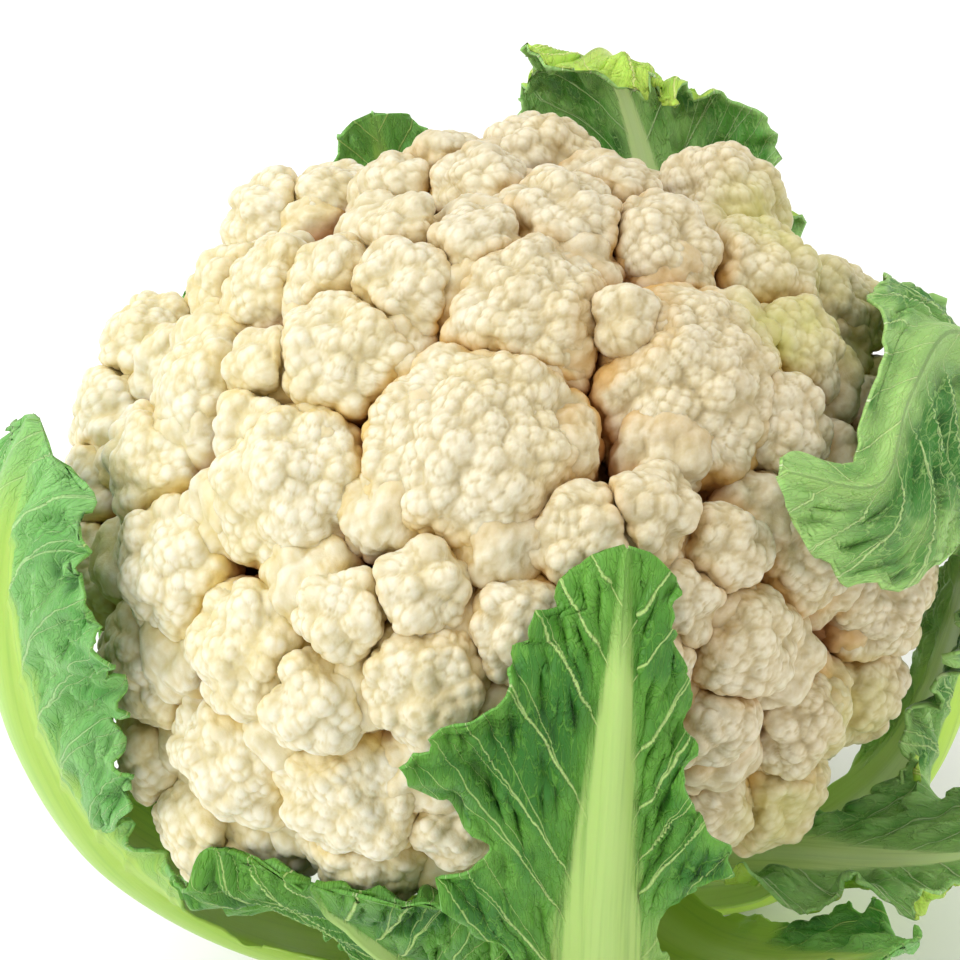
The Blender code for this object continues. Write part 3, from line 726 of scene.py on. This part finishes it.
# spine: mm out from the axis, up, and sideways. blade: share of the length, half width on each side.
# rib: half width and thickness at the foot and at the tip. wrap: radius that the blade curls to.
# waves: height, number along the edge, phase in degrees. notches: share of the width, number.
# pale: how much of the rib's width is pale, from halfway up to the tip. ribEnd: where the pale rib fades out.
leaves = [
    dict(name="leaf_front", bearing=-90, rows=17,
         spine=[(14, 12, 0), (40, 9, -1), (70, 24, -3), (93, 60, -2), (100, 98, 4), (93, 132, 13), (80, 158, 21)],
         blade=[(0, 15, 15), (0.45, 14, 14), (0.62, 15, 12), (0.66, 24, 14), (0.7, 28, 19), (0.735, 26, 21),
                (0.77, 29, 19), (0.81, 35, 17), (0.84, 34, 15), (0.86, 25, 15), (0.9, 19, 14), (0.93, 15, 12),
                (0.97, 10, 9), (1, 7, 7)],
         rib=(14, 9, 2.0, 1.5), wrap=150, waves=(4.0, 4, 20), notches=(0.1, 7), pale=(1.3, 0.45)),
    dict(name="leaf_front_low", bearing=-124, rows=13,
         spine=[(14, 24, 0), (40, 26, 0), (60, 44, 0), (77, 68, 0), (88, 91, 0)],
         blade=[(0, 9, 9), (0.3, 10, 10), (0.55, 22, 20), (0.8, 34, 30), (1, 26, 24)],
         rib=(9, 7, 2.0, 1.5), wrap=80, waves=(3.0, 3, 0), notches=(0.14, 5), pale=(0.45, 0.15)),
    dict(name="leaf_left", bearing=-168, rows=17,
         spine=[(14, 12, 0), (40, 13, 0), (71, 35, 0), (94, 66, 0), (103, 100, 0), (102, 130, 0), (95, 154, 0),
                (84, 171, 0)],
         blade=[(0, 14, 14), (0.28, 12, 12), (0.42, 24, 16), (0.58, 30, 25), (0.68, 28, 31), (0.74, 26, 31),
                (0.8, 25, 30), (0.84, 24, 38), (0.88, 22, 42), (0.92, 19, 35), (0.96, 15, 20), (1, 9, 10)],
         rib=(13, 9, 4.0, 3.0), wrap=44, waves=(3.0, 4, 200), notches=(0.1, 6), pale=(1.9, 1.3), look="mint"),
    dict(name="leaf_left_far", bearing=158, rows=13,
         spine=[(14, 24, 0), (42, 24, 0), (68, 40, 0), (85, 66, 0), (92, 92, 0), (92, 110, 0)],
         blade=[(0, 10, 10), (0.28, 10, 10), (0.45, 20, 18), (0.65, 26, 24), (0.85, 20, 18), (1, 7, 8)],
         rib=(10, 8, 2.0, 1.5), wrap=70, waves=(4.0, 4, 90), notches=(0.1, 6), pale=(0.8, 0.3)),
    dict(name="leaf_left_back", bearing=127, rows=15,
         spine=[(14, 12, 0), (42, 11, 0), (72, 30, 0), (91, 64, 0), (98, 100, 0), (95, 128, 0), (90, 143, 0)],
         blade=[(0, 13, 13), (0.28, 12, 12), (0.45, 22, 20), (0.65, 26, 24), (0.85, 18, 18), (1, 4, 4)],
         rib=(12, 8, 2.0, 1.5), wrap=80, waves=(4.0, 4, 150), notches=(0.1, 6), pale=(0.8, 0.3)),
    dict(name="leaf_back_left", bearing=95, rows=17,
         spine=[(14, 24, 0), (42, 25, 0), (72, 44, 0), (93, 80, 0), (100, 118, 0), (99, 146, 0), (95, 163, 0)],
         blade=[(0, 12, 12), (0.28, 12, 12), (0.45, 20, 20), (0.65, 24, 24), (0.85, 15, 15), (1, 8, 8)],
         rib=(12, 9, 2.5, 2.0), wrap=70, waves=(3.0, 4, 150), notches=(0.1, 7), pale=(0.8, 0.4), look="mint"),
    dict(name="leaf_back", bearing=61, rows=17,
         spine=[(14, 12, 0), (42, 12, 0), (74, 32, 0), (95, 72, 0), (105, 116, 1), (106, 146, 3), (99, 167, 4),
                (82, 174, 4)],
         blade=[(0, 13, 13), (0.25, 12, 12), (0.42, 26, 28), (0.62, 34, 38), (0.74, 42, 38), (0.81, 32, 30),
                (0.9, 18, 21), (1, 9, 12)],
         rib=(12, 9, 2.5, 2.0), wrap=90, waves=(4.0, 4, 60), notches=(0.08, 8), pale=(0.7, 0.3), look="young_painted_glow"),
    dict(name="leaf_right", bearing=-8, rows=21,
         spine=[(14, 12, 0), (42, 12, 0), (72, 32, 0), (88, 63, 0), (99, 98, 6), (100, 124, 14), (92, 142, 2),
                (83, 146, -25), (76, 142, -45), (60, 156, -57)],
         blade=[(0, 12, 11), (0.2, 13, 12), (0.32, 27, 24), (0.43, 28, 28), (0.54, 30, 26), (0.63, 30, 24),
                (0.7, 42, 16), (0.76, 54, 9), (0.8, 57, 8), (0.84, 44, 7), (0.88, 30, 6), (0.92, 17, 6),
                (1, 7, 5)],
         rib=(11.5, 9, 2.5, 2.0), wrap=80, waves=(3.0, 5, 30), notches=(0.12, 8), pale=(0.9, 0.4), look="pale",
         ribEnd=(0.56, 0.68)),
    dict(name="leaf_right_front", bearing=-42, rows=13,
         spine=[(14, 36, 0), (40, 38, 0), (60, 44, 0), (80, 49, 1), (98, 56, 1), (112, 64, 1)],
         blade=[(0, 10, 10), (0.28, 10, 10), (0.45, 14, 12), (0.68, 18, 20), (0.88, 16, 20), (1, 7, 7)],
         rib=(10, 8, 2.0, 1.5), wrap=40, waves=(4.0, 4, 0), notches=(0.12, 6), pale=(0.8, 0.3), look="young_painted_glow"),
    dict(name="leaf_right_low", bearing=-62, rows=13,
         spine=[(14, 24, 0), (42, 24, 0), (66, 33, 1), (88, 46, 4), (106, 58, 7)],
         blade=[(0, 10, 10), (0.3, 10, 10), (0.5, 12, 12), (0.72, 14, 16), (0.9, 10, 14), (1, 6, 8)],
         rib=(10, 8, 2.0, 1.5), wrap=40, waves=(3.0, 3, 120), notches=(0.12, 5), pale=(0.9, 0.5), look="mint"),
]


def smoothPath(points, shares):
    points = np.array(points, float)
    padded = np.vstack([2 * points[0] - points[1], points, 2 * points[-1] - points[-2]])
    fine = []
    for p0, p1, p2, p3 in zip(padded, padded[1:], padded[2:], padded[3:]):
        for t in np.linspace(0, 1, 24, endpoint=False):
            fine.append(0.5 * (2 * p1 + (p2 - p0) * t + (2 * p0 - 5 * p1 + 4 * p2 - p3) * t**2
                               + (3 * p1 - p0 - 3 * p2 + p3) * t**3))
    fine = np.array(fine + [points[-1]])
    lengths = np.concatenate([[0], np.cumsum(np.linalg.norm(np.diff(fine, axis=0), axis=1))])
    wanted = np.array(shares) * lengths[-1]
    return np.stack([np.interp(wanted, lengths, fine[:, k]) for k in range(3)], axis=1), lengths[-1]


def carried(across, along):  # the direction across a leaf, carried up its spine without twisting
    rows = []
    for way in along:
        across = unit(across - (across @ way) * way)
        rows.append(across)
    return np.array(rows)


def wobble(place, seed):  # smooth chance along a line, from -1 to 1
    knots = np.random.RandomState(seed).uniform(-1, 1, 512)
    low = np.floor(place).astype(int)
    share = place - low
    share = share * share * (3 - 2 * share)
    return knots[low % 512] * (1 - share) + knots[(low + 1) % 512] * share


def bothSides(hand, left, right):
    return np.where(hand < 0, left[:, None], right[:, None])


def leafGrid(leaf, shares, places, fine):  # places: -2 to 2, and from -1 to 1 on the rib
    seed = sum(map(ord, leaf["name"]))
    spine, length = smoothPath(leaf["spine"], shares)
    around = math.radians(leaf["bearing"])
    out, side = np.array([math.cos(around), math.sin(around), 0]), np.array([-math.sin(around), math.cos(around), 0])
    path = spine[:, :1] * out + spine[:, 2:] * side + spine[:, 1:2] * np.array([0, 0, 1])
    along = unit(np.gradient(path, axis=0))
    across = carried(side, along)
    outward = np.cross(across, along)

    table = np.array(leaf["blade"], float)
    footHalf, footThick, tipHalf, tipThick = leaf["rib"]
    height, count, phase = leaf["waves"]
    notch, notchCount = leaf["notches"]
    ribHalf = (footHalf + (tipHalf - footHalf) * shares**1.5)[:, None]
    ribThick = (footThick + (tipThick - footThick) * shares**1.3)[:, None]
    hand = np.where(places < 0, -1.0, 1.0)[None, :]
    onRib = np.minimum(np.abs(places), 1)[None, :]
    onBlade = np.maximum(np.abs(places) - 1, 0)[None, :]
    halves = np.where(hand < 0, np.interp(shares, table[:, 0], table[:, 1])[:, None],
                      np.interp(shares, table[:, 0], table[:, 2])[:, None])
    if fine:
        tip = leafForm["tipRound"]
        halves = halves * np.sqrt(np.clip(1 - (np.maximum(shares - 1 + tip, 0) / tip) ** 2.5, 0.0004, 1))[:, None]
        room = ease(halves - ribHalf, 2, 12)
        for size, step in leafForm["lobes"]:
            run = shares * length / step
            halves = halves + size * bothSides(hand, wobble(run, seed), wobble(run, seed + 9)) * room
    cutAway = np.sin(math.tau * notchCount * shares[:, None] + 2 * hand)
    halves = halves * (1 + notch * cutAway * (halves > 1.15 * ribHalf))
    beyond = np.maximum(halves - ribHalf, leafForm["leastBlade"])
    away = onRib * ribHalf + onBlade * beyond
    if fine:
        squeeze = np.minimum(1, halves / ribHalf)
        away = away * np.where(shares[:, None] > 0.9, squeeze, 1)
    wave = np.sin(math.tau * count * shares[:, None] + math.radians(phase) + hand)
    fullWave = np.minimum(1, beyond / leafForm["fullWaveFrom"])
    ruffle = height * wave * onBlade**2 * fullWave
    if fine:
        run = shares * length
        small, broad = run / leafForm["frillStep"], run / leafForm["rollStep"]
        frills = leafForm["frill"] * bothSides(hand, wobble(small, seed + 3), wobble(small, seed + 5))
        rolls = leafForm["roll"] * bothSides(hand, wobble(broad, seed + 6), wobble(broad, seed + 7))
        ruffle = ruffle + (frills * onBlade**3 + rolls * onBlade) * fullWave
    angle = away / leaf["wrap"]
    points = (path[:, None] + across[:, None] * (hand * np.sin(angle) * leaf["wrap"])[..., None]
              + outward[:, None] * (ruffle - (1 - np.cos(angle)) * leaf["wrap"])[..., None])
    pale = np.interp(shares, (0, 0.45, 1), (1.1, leaf["pale"][0], leaf["pale"][1]))[:, None]
    rounded = 1 - leafForm["ribRounding"] * np.minimum(onRib / np.minimum(pale, 1), 1) ** leafForm["ribPower"]
    thick = np.where(onBlade > 0, leafForm["blade"], np.maximum(ribThick * rounded, leafForm["blade"]))
    measures = dict(length=length, away=away * np.ones_like(thick), beyond=beyond * np.ones_like(thick), hand=hand,
                    fromPale=away / (ribHalf * pale), onBlade=onBlade * np.ones_like(thick))
    return points, thick, measures


def keptOffCurd(points):  # how far leaf points are moved out to lie just off the curd
    flat = points.reshape(-1, 3) - curdCentre
    distance = np.linalg.norm(flat, axis=1)
    ways = flat / distance[:, None]
    steps = ((0, 0, 0), (1, 0, 0), (-1, 0, 0), (0, 1, 0), (0, -1, 0), (0, 0, 1), (0, 0, -1))
    feelers = [curdReach(unit(ways + leafForm["curdFeeler"] * np.array(step))) for step in steps]
    least = np.max(feelers, axis=0) + leafForm["curdToLeaf"]
    above = flat[:, 2] > -curd["coreDrop"]
    moved = np.where(above & (distance < least), least - distance, 0)
    return (ways * moved[:, None]).reshape(points.shape)


def spreadOut(coarse, rows, places, fineRows, finePlaces):  # a coarse grid of values read off on a fine one
    wide = np.stack([[np.interp(finePlaces, places, row[:, k]) for row in coarse] for k in range(3)], axis=-1)
    columns = range(len(finePlaces))
    full = np.stack([[np.interp(fineRows, rows, wide[:, j, k]) for j in columns] for k in range(3)], axis=-1)
    full = np.swapaxes(full, 0, 1)
    for _ in range(leafForm["smoothing"]):
        full[1:-1] = (full[:-2] + 2 * full[1:-1] + full[2:]) / 4
        full[:, 1:-1] = (full[:, :-2] + 2 * full[:, 1:-1] + full[:, 2:]) / 4
    return full


def veinPhase(measures, shares, seed):  # whole numbers fall on the side veins, which lean up and outwards
    draw = random.Random(seed)
    length, away = measures["length"], measures["away"]
    run = shares[:, None] * length
    lean = leafForm["veinLean"] * away + leafForm["veinBend"] * away**2
    lean = lean + 1.6 * wobble(away / 9 + run / 31, seed) * ease(away, 2, 12)
    phases = []
    for hand in (-1, 1):
        marks = [-60.0]
        while marks[-1] < length + 20:
            marks.append(marks[-1] + leafForm["veinGap"] * draw.uniform(0.6, 1.4))
        phases.append(np.interp(run - lean, marks, np.arange(len(marks))))
    return np.where(measures["hand"] < 0, phases[0], phases[1])


def buildLeaf(leaf, materials):
    seed = sum(map(ord, leaf["name"]))
    coarseRows = np.linspace(0, 1, leaf["rows"])
    coarsePlaces = np.array([-2, -1.7, -1.36, -1, -0.55, 0, 0.55, 1, 1.36, 1.7, 2])
    coarse, _, _ = leafGrid(leaf, coarseRows, coarsePlaces, False)
    rib = np.linspace(0, 1, leafForm["ribColumns"] + 1)
    blade = 1 + np.linspace(0, 1, leafForm["bladeColumns"] + 1)[1:]
    half = np.concatenate([rib[1:], blade])
    places = np.concatenate([-half[::-1], [0], half])
    shares = np.linspace(0, 1, leafForm["rows"])
    points, thick, measures = leafGrid(leaf, shares, places, True)
    points = points + spreadOut(keptOffCurd(coarse), coarseRows, coarsePlaces, shares, places)
    phase = veinPhase(measures, shares, seed)

    # relief: the blade puffs in between its veins, which stand out on the outer face
    broad = ease(measures["beyond"], 2, 8)
    away = measures["away"]
    forkUp = phase - 0.42 * ease(away, 7, 27) * (1 + 0.3 * wobble(phase * 0.9, seed + 1))
    forkDown = phase + 0.36 * ease(away, 13, 38) * (1 + 0.3 * wobble(phase * 0.8, seed + 2))
    toVein = np.abs(phase - np.round(phase)) * leafForm["veinGap"] * 0.75
    flatPlace = np.stack([phase * 8.5, 2 * away * measures["hand"] + 400, np.zeros_like(phase)], axis=-1)
    rise, _ = pebbles(flatPlace.reshape(-1, 3), leafForm["puckerSize"], seed, 0.8, 0.2)
    between = ease(toVein, 0.0, 4.0)
    hollow = (rise.reshape(phase.shape) - 0.35) * between
    puff = leafForm["pucker"] * hollow + leafForm["puff"] * (between - 0.5)
    outwardLine = np.cross(np.gradient(points, axis=1), np.gradient(points, axis=0))
    outwardLine = unit(outwardLine + 1e-9)
    calm = ease(measures["onBlade"], 0.0, 0.12) * broad * ease(measures["fromPale"], 0.9, 1.3)
    points = points - outwardLine * (puff * calm)[..., None]
    veinWidth = 1.1 - 0.7 * np.clip(away / 38, 0, 1)
    standing = np.exp(-(toVein / veinWidth) ** 2) * broad * np.clip(1.2 - measures["onBlade"], 0, 1)
    thick = thick + leafForm["veinRise"] * standing * (measures["onBlade"] > 0)

    deselectAll()
    bpy.ops.mesh.primitive_grid_add(x_subdivisions=len(places) - 1, y_subdivisions=len(shares) - 1, size=2)
    piece = bpy.context.object
    piece.name = piece.data.name = leaf["name"] + "_blade"
    mesh = piece.data
    order = np.lexsort((readPoints(mesh)[:, 0].round(5), readPoints(mesh)[:, 1].round(5)))
    placed = np.empty((len(order), 3))
    low, high = boxCorners
    placed[order] = softClip(points.reshape(-1, 3) * mm, low, high)
    writePoints(mesh, placed)

    def sheetAttribute(name, values):
        placedValues = np.empty(len(order))
        placedValues[order] = np.broadcast_to(values, phase.shape).ravel()
        writeAttribute(mesh, name, placedValues)

    for name, values in (
            ("veinPhase", phase), ("forkUp", forkUp), ("forkDown", forkDown), ("away", away),
            ("fromPale", measures["fromPale"]), ("toEdge", measures["onBlade"]), ("upLeaf", shares[:, None]),
            ("sideways", away * measures["hand"]), ("run", shares[:, None] * measures["length"]), ("broad", broad),
            ("hollow", hollow), ("ribFades", ease(shares[:, None], *leaf.get("ribEnd", (0.88, 0.98))))):
        sheetAttribute(name, values)
    thickest = float(thick.max())
    group = piece.vertex_groups.new(name="thickness")
    placedThick = np.empty(len(order))
    placedThick[order] = thick.ravel() / thickest
    for index, share in enumerate(placedThick):
        group.add([index], share, "REPLACE")
    shell = piece.modifiers.new("thickness", "SOLIDIFY")
    shell.thickness = thickest * mm
    shell.offset = 1
    shell.vertex_group = "thickness"
    shell.material_offset = 1
    shell.material_offset_rim = 1
    mesh.materials.append(materials[0])
    mesh.materials.append(materials[1])
    applyAll(piece)
    writePoints(piece.data, np.clip(readPoints(piece.data), *boxCorners))
    piece.data.shade_smooth()
    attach(piece, "root")
    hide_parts(leaf["name"])
    return piece


def veinLine(tree, phase, width):  # 1 on a vein, 0 off it
    line = maths(tree, "PINGPONG", phase, 0.5)
    return opposite(tree, fade(tree, maths(tree, "DIVIDE", line, width), 0.3, 1.0))


def leafMaterial(name, dark, mid, light, vein, ribFoot, ribTop, relief):
    material, tree, shader = newMaterial(name, 0.42, 0.3, 0.2, (0.35, 1.0, 0.15), 0.0014)
    place = ownPlace(tree)
    phase, forkUp, forkDown, away, fromPale, toEdge = (
        attribute(tree, key) for key in ("veinPhase", "forkUp", "forkDown", "away", "fromPale", "toEdge"))
    upLeaf, sideways, run, broad, hollow, ribFades = (
        attribute(tree, key) for key in ("upLeaf", "sideways", "run", "broad", "hollow", "ribFades"))
    # side veins and their forks: lines where a phase is whole, finer towards the edge
    sideVein = veinLine(tree, phase, fade(tree, away, 3.0, 40.0, 0.034, 0.011))
    forks = strongest(tree, veinLine(tree, forkUp, fade(tree, away, 5.0, 36.0, 0.022, 0.01)),
                  veinLine(tree, forkDown, fade(tree, away, 10.0, 40.0, 0.02, 0.009)))
    across = times(tree, sideways, 0.45)
    web = put(tree, "ShaderNodeCombineXYZ", {"X": times(tree, phase, 2.1), "Y": across}).outputs[0]
    wander = put(tree, "ShaderNodeTexNoise", {"Vector": web, "Scale": 1.3, "Detail": 2.0}).outputs["Color"]
    web = put(tree, "ShaderNodeVectorMath", {0: web, 1: wander}, operation="ADD").outputs["Vector"]
    webLine = opposite(tree, fade(tree, cells(tree, web, 1.0), 0.01, 0.06))
    fineLine = opposite(tree, fade(tree, cells(tree, web, 3.3), 0.01, 0.09))
    blotch = noise(tree, place, 60.0, 4.0)
    wide = noise(tree, place, 48.0, 3.0)
    # painted shade: the puckered hollows between the veins painted darker, over random blotches of tone
    shade = maths(tree, "SUBTRACT", fade(tree, blotch, 0.34, 0.66, 0.0, 0.9), times(tree, hollow, 2.6))
    colour = mix(tree, fade(tree, shade, -0.35, 0.75), dark, mid)
    colour = mix(tree, fade(tree, wide, 0.42, 0.6, 0.0, 0.78), colour, light)
    nearVein = opposite(tree, fade(tree, maths(tree, "PINGPONG", phase, 0.5), 0.03, 0.26))
    colour = layer(tree, colour, nearVein, 0.6, mid)
    colour = layer(tree, colour, fade(tree, fromPale, 2.6, 1.00), 0.6, light)
    colour = layer(tree, colour, fade(tree, upLeaf, 0.86, 1.0), 0.6, light)
    colour = layer(tree, colour, fade(tree, toEdge, 0.86, 1.0), 0.75, light)
    colour = layer(tree, colour, fineLine, 0.3, light)
    colour = layer(tree, colour, webLine, 0.6, light)
    colour = layer(tree, colour, forks, 0.65, vein)
    colour = layer(tree, colour, sideVein, 0.72, vein)
    lengthwise = {"X": times(tree, run, 0.025), "Y": times(tree, sideways, 0.9)}
    strands = noise(tree, put(tree, "ShaderNodeCombineXYZ", lengthwise).outputs[0], 1.0, 3.0)
    ribColour = mix(tree, fade(tree, upLeaf, 0.3, 0.8), ribFoot, ribTop)
    ribColour = mix(tree, fade(tree, strands, 0.45, 0.8, 0.0, 0.3), ribColour, mid)
    ribColour = mix(tree, fade(tree, fromPale, 0.55, 0.1, 0.0, 0.45), ribColour, vein)
    ragged = maths(tree, "ADD", fromPale, fade(tree, strands, 0.3, 0.7, -0.12, 0.12))
    narrow = times(tree, fade(tree, broad, 0.8, 0.1), fade(tree, upLeaf, 0.7, 0.5))
    stemPart = strongest(tree, fade(tree, ragged, 1.35, 0.75), narrow)
    stemPart = times(tree, stemPart, opposite(tree, times(tree, ribFades, 0.85)))
    colour = mix(tree, stemPart, colour, ribColour)
    lines = maths(tree, "ADD", times(tree, webLine, 0.5), times(tree, fineLine, 0.25))
    lines = maths(tree, "ADD", lines, strongest(tree, sideVein, times(tree, forks, 0.7)))
    lines = times(tree, lines, opposite(tree, stemPart))
    normal = bump(tree, lines, 0.7, relief)
    normal = bump(tree, strands, 0.2, 0.0006, normal)
    normal = bump(tree, noise(tree, place, 600.0, 2.0), 0.15, 0.0004, normal)
    paint(tree, shader, colour, normal, fade(tree, blotch, 0.3, 0.7, 0.34, 0.52))
    return material


leafLooks = {  # dark, middle and light green, veins, rib at the foot and at the top, and how far lines stand out
    "plain": [((0.008, 0.062, 0.006), (0.035, 0.175, 0.018), (0.14, 0.37, 0.045),
               (0.48, 0.68, 0.22), (0.3, 0.45, 0.09), (0.4, 0.58, 0.16), -0.0009),
              ((0.006, 0.062, 0.007), (0.036, 0.19, 0.02), (0.17, 0.44, 0.075),
               (0.58, 0.76, 0.36), (0.3, 0.49, 0.095), (0.4, 0.62, 0.2), 0.0011)],
    # this look: light green, with the inner face and rib foot painted brighter still, painted light shining through
    # the leaf and into the curd's shade
    "young_painted_glow": [((0.09, 0.3, 0.016), (0.29, 0.56, 0.045), (0.52, 0.74, 0.11),
               (0.76, 0.86, 0.28), (0.56, 0.7, 0.15), (0.68, 0.8, 0.22), -0.0009),
              ((0.02, 0.12, 0.016), (0.1, 0.33, 0.05), (0.36, 0.62, 0.2),
               (0.64, 0.82, 0.44), (0.52, 0.7, 0.22), (0.64, 0.82, 0.38), 0.0011)],
    # pale: the inner rib foot painted brighter, painted light where the curd shades the stalk
    "pale": [((0.008, 0.07, 0.008), (0.045, 0.215, 0.024), (0.4, 0.66, 0.2),
              (0.56, 0.76, 0.3), (0.5, 0.74, 0.1), (0.52, 0.74, 0.18), -0.0009),
             ((0.008, 0.07, 0.008), (0.045, 0.215, 0.024), (0.4, 0.66, 0.2),
              (0.72, 0.88, 0.5), (0.42, 0.62, 0.14), (0.64, 0.82, 0.38), 0.0011)],
    "mint": [((0.03, 0.16, 0.022), (0.095, 0.34, 0.06), (0.26, 0.56, 0.17),
              (0.44, 0.68, 0.28), (0.36, 0.56, 0.08), (0.4, 0.6, 0.11), -0.0009),
             ((0.014, 0.095, 0.012), (0.065, 0.27, 0.04), (0.23, 0.52, 0.12),
              (0.56, 0.75, 0.26), (0.37, 0.56, 0.08), (0.42, 0.62, 0.12), 0.0011)],
}


def buildLeaves():
    materials = {look: (leafMaterial(f"leaf_{look}_inner", *inner), leafMaterial(f"leaf_{look}_outer", *outer))
                 for look, (inner, outer) in leafLooks.items()}
    for leaf in leaves:
        piece = buildLeaf(leaf, materials[leaf.get("look", "plain")])
        print(leaf["name"], "made,", len(piece.data.polygons), "faces")


buildLeaves()
